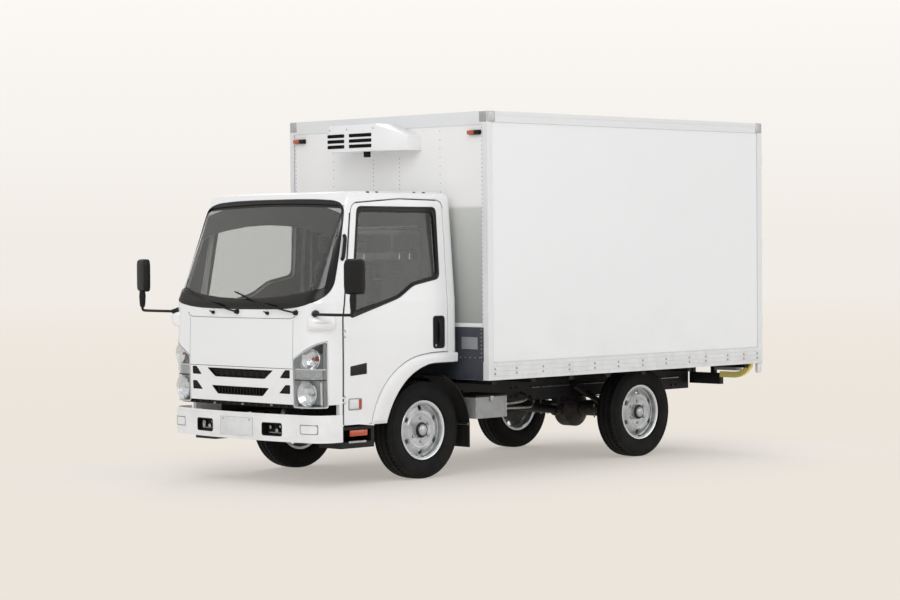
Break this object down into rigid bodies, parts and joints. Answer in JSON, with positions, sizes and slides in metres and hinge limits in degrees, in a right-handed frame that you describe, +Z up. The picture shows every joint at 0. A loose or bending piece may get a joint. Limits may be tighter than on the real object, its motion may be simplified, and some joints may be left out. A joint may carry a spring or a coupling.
{
  "type": "refrigerated truck",
  "caption": "Light cab-over truck with a tilting cab, an insulated white box with rear doors, a front wall cooling unit and steered wheels.",
  "frame": {"origin": "on the ground, under the middle of the truck's bounding box", "axes": "+X to the truck's left, +Y to its rear, +Z up; the cab faces -Y"},
  "size_m": [2.595, 4.8878, 2.7639],
  "materials": {
    "white_paint": "gloss white paint",
    "chassis_black": "satin black chassis paint",
    "cast_grey": "rough cast",
    "silver_wheel": "silver wheel paint",
    "tyre_rubber": "moulded",
    "black_plastic": "grained",
    "white_panel": "smooth gel coat",
    "aluminium_rail": "extruded",
    "clear_glass": "polished",
    "lamp_lens": "clear lens",
    "amber_lens": "moulded lens",
    "grey_fabric": "woven",
    "grey_trim": "grained",
    "yellow_paint": "gloss yellow paint",
    "steel": "plain steel",
    "tank_grey": "grey paint"
  },
  "bodies": {
    "chassis": {"ladder_frame": "chassis_black", "front_axle": "chassis_black", "rear_axle": "chassis_black", "leaf_springs": "chassis_black", "engine_block": "cast_grey", "propshaft": "chassis_black", "fuel_tank": "chassis_black", "battery_box": "tank_grey", "exhaust": "steel", "front_bumper": "white_paint", "cab_steps": "black_plastic", "mudguards": "black_plastic", "box_frame": "white_paint", "box_floor": "aluminium_rail", "box_side_walls": "white_panel", "box_front_wall": "white_panel", "box_roof": "white_panel", "refrigeration_unit": "white_panel", "evaporator": "white_panel", "box_lamps": "amber_lens", "rear_bumper": "yellow_paint"},
    "cab": {"cab_shell": "white_paint", "front_panel": "white_paint", "cab_glass": "clear_glass", "dashboard": "grey_trim", "seats": "grey_fabric", "cab_lamps": "lamp_lens", "wipers": "black_plastic", "mirrors": "black_plastic"},
    "steering_wheel": {"steering_wheel": "black_plastic"},
    "left_door": {"left_door": "white_paint", "left_door_glass": "clear_glass"},
    "right_door": {"right_door": "white_paint", "right_door_glass": "clear_glass"},
    "left_cargo_door": {"left_cargo_door": "white_panel"},
    "right_cargo_door": {"right_cargo_door": "white_panel"},
    "front_left_knuckle": {"front_left_knuckle": "cast_grey"},
    "front_right_knuckle": {"front_right_knuckle": "cast_grey"},
    "tie_rod": {"tie_rod": "steel"},
    "front_left_wheel": {"front_left_tyre": "tyre_rubber", "front_left_rim": "silver_wheel"},
    "front_right_wheel": {"front_right_tyre": "tyre_rubber", "front_right_rim": "silver_wheel"},
    "rear_left_wheel": {"rear_left_tyre": "tyre_rubber", "rear_left_rim": "silver_wheel"},
    "rear_right_wheel": {"rear_right_tyre": "tyre_rubber", "rear_right_rim": "silver_wheel"}
  },
  "joints": [
    {"name": "front_left_steer", "type": "hinge", "parent": "chassis", "child": "front_left_knuckle", "pos_m": [0.6, -1.266, 0.369], "axis": [0, 0, 1], "range_deg": [-35, 35]},
    {"name": "front_right_steer", "type": "hinge", "parent": "chassis", "child": "front_right_knuckle", "pos_m": [-0.6, -1.266, 0.369], "axis": [0, 0, 1], "range_deg": [-35, 35]},
    {"name": "tie_rod_pivot", "type": "hinge", "parent": "front_left_knuckle", "child": "tie_rod", "pos_m": [0.6, -1.116, 0.281], "axis": [0, 0, 1], "range_deg": [-35, 35]},
    {"name": "steering_wheel_turn", "type": "hinge", "parent": "cab", "child": "steering_wheel", "pos_m": [0.38, -1.926, 1.19], "axis": [0, 0.7612, 0.6485], "range_deg": [-560, 560]},
    {"name": "cab_tilt", "type": "hinge", "parent": "chassis", "child": "cab", "pos_m": [0, -2.246, 0.66], "axis": [1, 0, 0], "range_deg": [0, 45]},
    {"name": "left_door_swing", "type": "hinge", "parent": "cab", "child": "left_door", "pos_m": [0.845, -2.122, 0.88], "axis": [0, 0, -1], "range_deg": [0, 70]},
    {"name": "right_door_swing", "type": "hinge", "parent": "cab", "child": "right_door", "pos_m": [-0.845, -2.122, 0.88], "axis": [0, 0, 1], "range_deg": [0, 70]},
    {"name": "left_cargo_door_swing", "type": "hinge", "parent": "chassis", "child": "left_cargo_door", "pos_m": [1.105, 2.422, 1.75], "axis": [0, 0, -1], "range_deg": [0, 225]},
    {"name": "right_cargo_door_swing", "type": "hinge", "parent": "chassis", "child": "right_cargo_door", "pos_m": [-1.105, 2.422, 1.75], "axis": [0, 0, 1], "range_deg": [0, 225]},
    {"name": "front_left_wheel_spin", "type": "hinge", "parent": "front_left_knuckle", "child": "front_left_wheel", "pos_m": [0.696, -1.266, 0.369], "axis": [1, 0, 0], "continuous": true},
    {"name": "front_right_wheel_spin", "type": "hinge", "parent": "front_right_knuckle", "child": "front_right_wheel", "pos_m": [-0.696, -1.266, 0.369], "axis": [1, 0, 0], "continuous": true},
    {"name": "rear_left_wheel_spin", "type": "hinge", "parent": "chassis", "child": "rear_left_wheel", "pos_m": [0.696, 1.224, 0.369], "axis": [1, 0, 0], "continuous": true},
    {"name": "rear_right_wheel_spin", "type": "hinge", "parent": "chassis", "child": "rear_right_wheel", "pos_m": [-0.696, 1.224, 0.369], "axis": [1, 0, 0], "continuous": true}
  ],
  "couplings": [
    {"joint": "front_right_steer", "follows": "front_left_steer", "ratio": 1},
    {"joint": "tie_rod_pivot", "follows": "front_left_steer", "ratio": -1},
    {"joint": "steering_wheel_turn", "follows": "front_left_steer", "ratio": 16}
  ]
}
